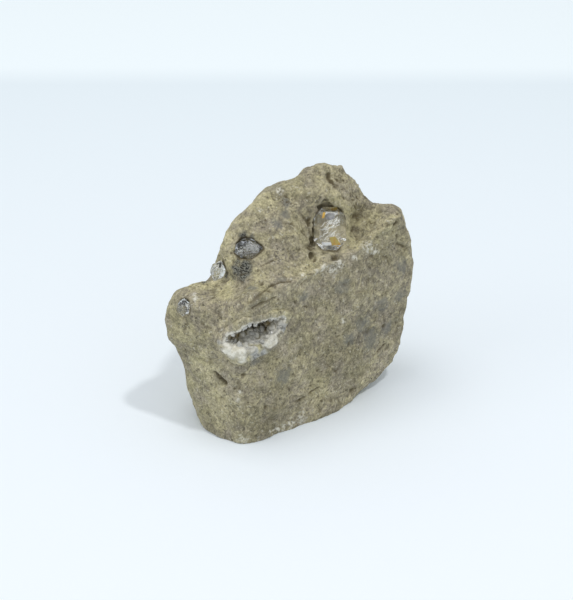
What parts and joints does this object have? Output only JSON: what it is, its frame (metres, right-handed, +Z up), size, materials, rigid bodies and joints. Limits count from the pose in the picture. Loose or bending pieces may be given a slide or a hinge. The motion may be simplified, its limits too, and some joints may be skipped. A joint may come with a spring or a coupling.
{
  "type": "herkimer diamond mineral specimen",
  "caption": "Broken block of grey-brown dolostone holding clear doubly terminated quartz crystals and an open vug lined with small crystals.",
  "frame": {"origin": "on the surface that the specimen stands on, under the middle of its bounding box", "axes": "+Z up, -Y towards the side that shows the crystals, +X to the right seen from there, along the block's length"},
  "size_m": [0.0892, 0.066, 0.0865],
  "materials": {
    "dolostone": "dull, granular broken rock",
    "druse_quartz": "sparkling crust of small crystals",
    "clear_quartz": "natural crystal faces"
  },
  "bodies": {
    "root": {"matrix": "dolostone", "druse_crust": "druse_quartz", "main_crystal": "clear_quartz", "second_crystal": "clear_quartz", "ledge_crystal": "clear_quartz", "lobe_crystal": "clear_quartz"}
  },
  "joints": []
}
